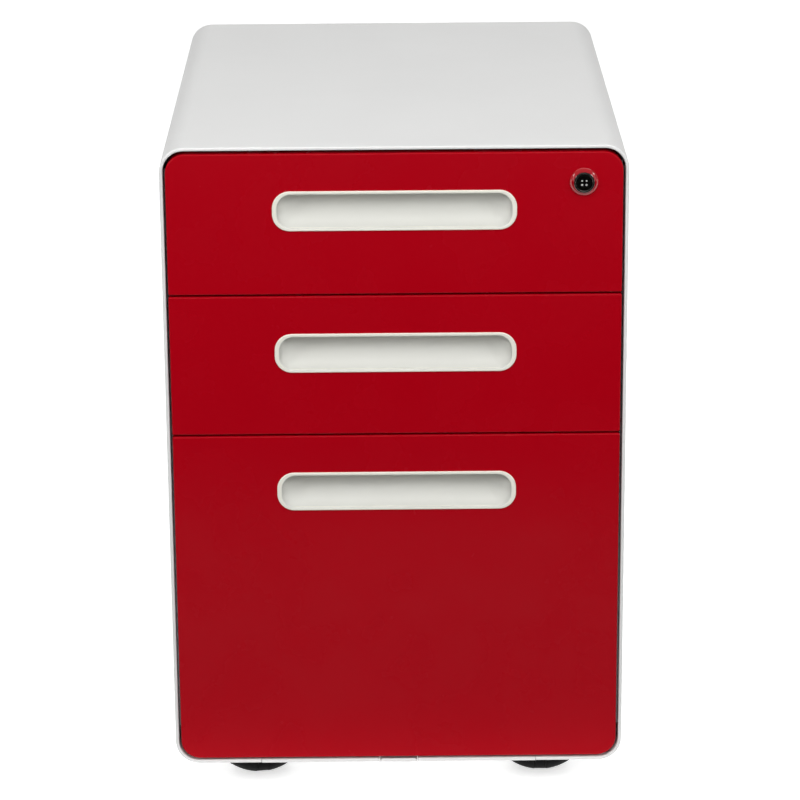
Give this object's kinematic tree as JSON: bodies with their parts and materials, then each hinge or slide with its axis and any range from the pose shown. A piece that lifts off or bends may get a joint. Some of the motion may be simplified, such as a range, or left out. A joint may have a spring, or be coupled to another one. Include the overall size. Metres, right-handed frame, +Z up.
{
  "type": "mobile filing cabinet",
  "caption": "Under-desk steel filing pedestal with inset drawer fronts, recessed grip handles, a gang lock, ball-bearing runners and swivel casters.",
  "frame": {"origin": "on the floor, under the middle of the case", "axes": "+Z up, +X to the right as seen by a person facing the drawers, -Y out of the drawer fronts"},
  "size_m": [0.4, 0.5245, 0.603],
  "materials": {
    "case_paint": "satin white powder coat on sheet steel",
    "front_paint": "semi-gloss red powder coat on sheet steel",
    "drawer_paint": "satin off-white powder coat on sheet steel",
    "handle_plastic": "satin warm-white moulded ABS",
    "zinc_steel": "bright zinc-plated steel",
    "lock_chrome": "polished chrome plate on die-cast zinc",
    "tray_plastic": "textured black polystyrene",
    "caster_plastic": "satin black moulded nylon"
  },
  "bodies": {
    "cabinet": {"outer_wrapper": "case_paint", "base_pan": "case_paint", "back_panel": "case_paint", "top_front_rail": "case_paint", "front_left_post": "zinc_steel", "rear_left_post": "zinc_steel", "front_right_post": "zinc_steel", "rear_right_post": "zinc_steel", "top_left_outer_runner": "zinc_steel", "top_right_outer_runner": "zinc_steel", "middle_left_outer_runner": "zinc_steel", "middle_right_outer_runner": "zinc_steel", "file_left_outer_runner": "zinc_steel", "file_right_outer_runner": "zinc_steel", "front_left_caster_plate": "zinc_steel", "front_right_caster_plate": "zinc_steel", "rear_left_caster_plate": "zinc_steel", "rear_right_caster_plate": "zinc_steel"},
    "top_drawer": {"top_drawer_front": "front_paint", "top_drawer_box": "drawer_paint", "top_drawer_handle": "handle_plastic", "top_left_drawer_runner": "zinc_steel", "top_right_drawer_runner": "zinc_steel", "pencil_tray": "tray_plastic", "lock_barrel": "lock_chrome"},
    "top_middle_runners": {"top_left_middle_runner": "zinc_steel", "top_right_middle_runner": "zinc_steel"},
    "middle_drawer": {"middle_drawer_front": "front_paint", "middle_drawer_box": "drawer_paint", "middle_drawer_handle": "handle_plastic", "middle_left_drawer_runner": "zinc_steel", "middle_right_drawer_runner": "zinc_steel"},
    "middle_middle_runners": {"middle_left_middle_runner": "zinc_steel", "middle_right_middle_runner": "zinc_steel"},
    "file_drawer": {"file_drawer_front": "front_paint", "file_drawer_box": "drawer_paint", "file_drawer_handle": "handle_plastic", "file_left_drawer_runner": "zinc_steel", "file_right_drawer_runner": "zinc_steel", "left_hanging_rail": "zinc_steel", "right_hanging_rail": "zinc_steel", "anti_tilt_bracket": "case_paint"},
    "file_middle_runners": {"file_left_middle_runner": "zinc_steel", "file_right_middle_runner": "zinc_steel"},
    "lock_plug": {"lock_plug": "lock_chrome", "lock_cam": "zinc_steel"},
    "lock_bar": {"lock_bar": "zinc_steel"},
    "front_left_caster": {"front_left_caster_hood": "caster_plastic"},
    "front_left_caster_left_wheel": {"front_left_caster_left_wheel": "caster_plastic"},
    "front_left_caster_right_wheel": {"front_left_caster_right_wheel": "caster_plastic"},
    "front_right_caster": {"front_right_caster_hood": "caster_plastic"},
    "front_right_caster_left_wheel": {"front_right_caster_left_wheel": "caster_plastic"},
    "front_right_caster_right_wheel": {"front_right_caster_right_wheel": "caster_plastic"},
    "rear_left_caster": {"rear_left_caster_hood": "caster_plastic"},
    "rear_left_caster_left_wheel": {"rear_left_caster_left_wheel": "caster_plastic"},
    "rear_left_caster_right_wheel": {"rear_left_caster_right_wheel": "caster_plastic"},
    "rear_right_caster": {"rear_right_caster_hood": "caster_plastic"},
    "rear_right_caster_left_wheel": {"rear_right_caster_left_wheel": "caster_plastic"},
    "rear_right_caster_right_wheel": {"rear_right_caster_right_wheel": "caster_plastic"},
    "anti_tilt_wheel": {"anti_tilt_wheel": "caster_plastic"}
  },
  "joints": [
    {"name": "top_drawer_slide", "type": "slide", "parent": "cabinet", "child": "top_drawer", "axis": [0, -1, 0], "range_m": [0, 0.35]},
    {"name": "top_runner_slide", "type": "slide", "parent": "cabinet", "child": "top_middle_runners", "axis": [0, -1, 0], "range_m": [0, 0.175]},
    {"name": "middle_drawer_slide", "type": "slide", "parent": "cabinet", "child": "middle_drawer", "axis": [0, -1, 0], "range_m": [0, 0.35]},
    {"name": "middle_runner_slide", "type": "slide", "parent": "cabinet", "child": "middle_middle_runners", "axis": [0, -1, 0], "range_m": [0, 0.175]},
    {"name": "file_drawer_slide", "type": "slide", "parent": "cabinet", "child": "file_drawer", "axis": [0, -1, 0], "range_m": [0, 0.43]},
    {"name": "file_runner_slide", "type": "slide", "parent": "cabinet", "child": "file_middle_runners", "axis": [0, -1, 0], "range_m": [0, 0.215]},
    {"name": "lock_turn", "type": "hinge", "parent": "top_drawer", "child": "lock_plug", "pos_m": [0.1614, -0.26, 0.571], "axis": [0, 1, 0], "range_deg": [0, 90]},
    {"name": "lock_bar_drop", "type": "slide", "parent": "cabinet", "child": "lock_bar", "axis": [0, 0, -1], "range_m": [0, 0.012]},
    {"name": "front_left_swivel", "type": "hinge", "parent": "cabinet", "child": "front_left_caster", "pos_m": [-0.13, -0.173, 0.05], "axis": [0, 0, 1], "continuous": true},
    {"name": "front_left_left_wheel_spin", "type": "hinge", "parent": "front_left_caster", "child": "front_left_caster_left_wheel", "pos_m": [-0.12656, -0.19473, 0.025], "axis": [0.9877, 0.1564, 0], "continuous": true},
    {"name": "front_left_right_wheel_spin", "type": "hinge", "parent": "front_left_caster", "child": "front_left_caster_right_wheel", "pos_m": [-0.12656, -0.19473, 0.025], "axis": [0.9877, 0.1564, 0], "continuous": true},
    {"name": "front_right_swivel", "type": "hinge", "parent": "cabinet", "child": "front_right_caster", "pos_m": [0.13, -0.173, 0.05], "axis": [0, 0, 1], "continuous": true},
    {"name": "front_right_left_wheel_spin", "type": "hinge", "parent": "front_right_caster", "child": "front_right_caster_left_wheel", "pos_m": [0.13, -0.195, 0.025], "axis": [1, 0, 0], "continuous": true},
    {"name": "front_right_right_wheel_spin", "type": "hinge", "parent": "front_right_caster", "child": "front_right_caster_right_wheel", "pos_m": [0.13, -0.195, 0.025], "axis": [1, 0, 0], "continuous": true},
    {"name": "rear_left_swivel", "type": "hinge", "parent": "cabinet", "child": "rear_left_caster", "pos_m": [-0.13, 0.173, 0.05], "axis": [0, 0, 1], "continuous": true},
    {"name": "rear_left_left_wheel_spin", "type": "hinge", "parent": "rear_left_caster", "child": "rear_left_caster_left_wheel", "pos_m": [-0.12105, 0.1529, 0.025], "axis": [0.9135, 0.4067, 0], "continuous": true},
    {"name": "rear_left_right_wheel_spin", "type": "hinge", "parent": "rear_left_caster", "child": "rear_left_caster_right_wheel", "pos_m": [-0.12105, 0.1529, 0.025], "axis": [0.9135, 0.4067, 0], "continuous": true},
    {"name": "rear_right_swivel", "type": "hinge", "parent": "cabinet", "child": "rear_right_caster", "pos_m": [0.13, 0.173, 0.05], "axis": [0, 0, 1], "continuous": true},
    {"name": "rear_right_left_wheel_spin", "type": "hinge", "parent": "rear_right_caster", "child": "rear_right_caster_left_wheel", "pos_m": [0.12394, 0.15185, 0.025], "axis": [0.9613, -0.2756, 0], "continuous": true},
    {"name": "rear_right_right_wheel_spin", "type": "hinge", "parent": "rear_right_caster", "child": "rear_right_caster_right_wheel", "pos_m": [0.12394, 0.15185, 0.025], "axis": [0.9613, -0.2756, 0], "continuous": true},
    {"name": "anti_tilt_wheel_spin", "type": "hinge", "parent": "file_drawer", "child": "anti_tilt_wheel", "pos_m": [0, -0.164, 0.016], "axis": [1, 0, 0], "continuous": true}
  ],
  "couplings": [
    {"joint": "top_runner_slide", "follows": "top_drawer_slide", "ratio": 0.5},
    {"joint": "middle_runner_slide", "follows": "middle_drawer_slide", "ratio": 0.5},
    {"joint": "file_runner_slide", "follows": "file_drawer_slide", "ratio": 0.5},
    {"joint": "lock_turn", "follows": "lock_bar_drop", "rad_per_m": 130.9}
  ]
}
